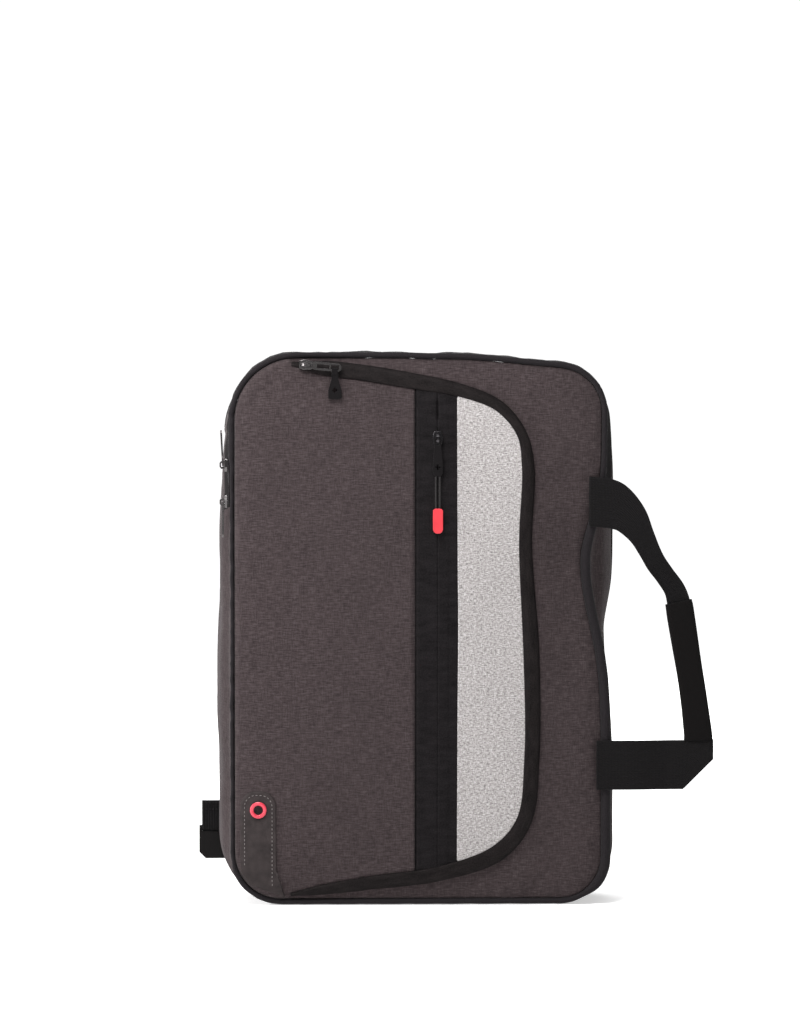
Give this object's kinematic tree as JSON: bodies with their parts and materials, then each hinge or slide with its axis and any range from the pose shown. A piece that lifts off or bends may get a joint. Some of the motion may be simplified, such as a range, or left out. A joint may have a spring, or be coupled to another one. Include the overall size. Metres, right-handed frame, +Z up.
{
  "type": "convertible backpack",
  "caption": "Upright convertible laptop backpack in heather cloth, with a raised front pocket, curved zip band, side carrying handle and hollow main compartment.",
  "frame": {"origin": "middle of the flat base on the ground, halfway between the front and rear seams", "axes": "+Z up along the bag's height, -Y out of the front face, +X towards the carrying handle"},
  "size_m": [0.3952, 0.1094, 0.4254],
  "materials": {
    "dark_heather": "melange polyester, fine plain weave",
    "light_heather": "light grey melange polyester with pale slubs",
    "rubberised_band": "matt rubberised cloth",
    "rubberised_strip": "matt rubberised zip tape",
    "patch_leather": "dark grey synthetic leather, matt",
    "eyelet_red": "red enamel",
    "piping_cloth": "black ribbed piping",
    "zip_tape": "black woven zip tape with a nylon coil",
    "back_cloth": "black padded polyester",
    "webbing": "black ribbed webbing",
    "wrap_cloth": "black neoprene-like sleeve",
    "buckle_plastic": "black acetal",
    "gunmetal": "black nickel plate",
    "puller_rubber": "moulded matt rubber",
    "strand_cord": "braided black cord",
    "tab_red": "moulded red rubber"
  },
  "bodies": {
    "bag": {"front_panel": "dark_heather", "pocket_panel": "dark_heather", "zip_strip": "rubberised_strip", "light_panel": "light_heather", "pocket_band": "rubberised_band", "corner_patch": "patch_leather", "eyelet": "eyelet_red", "front_piping": "piping_cloth", "rear_piping": "piping_cloth", "gusset": "dark_heather", "main_zip": "zip_tape", "back_panel": "back_cloth", "handle_webbing": "webbing", "handle_wrap": "wrap_cloth", "strap_tab": "webbing", "strap_buckle": "buckle_plastic", "arc_slider": "gunmetal", "strip_slider": "gunmetal", "strip_pull": "puller_rubber", "strip_strand_1": "strand_cord", "strip_strand_2": "strand_cord", "red_tab": "tab_red", "side_slider_lower": "gunmetal", "side_slider_upper": "gunmetal"},
    "arc_pull_body": {"arc_pull": "gunmetal", "arc_puller": "puller_rubber"},
    "side_pull_lower_body": {"side_pull_lower": "gunmetal"},
    "side_pull_upper_body": {"side_pull_upper": "gunmetal"}
  },
  "joints": [
    {"name": "arc_pull_swing", "type": "hinge", "parent": "bag", "child": "arc_pull_body", "pos_m": [-0.0858, -0.05036, 0.41586], "axis": [-0.0872, 0, -0.9962], "range_deg": [0, 150]},
    {"name": "side_pull_lower_swing", "type": "hinge", "parent": "bag", "child": "side_pull_lower_body", "pos_m": [-0.14957, -0.0304, 0.31002], "axis": [0, 1, 0], "range_deg": [0, 110]},
    {"name": "side_pull_upper_swing", "type": "hinge", "parent": "bag", "child": "side_pull_upper_body", "pos_m": [-0.14957, -0.0304, 0.33858], "axis": [0, -1, 0], "range_deg": [0, 110]}
  ]
}
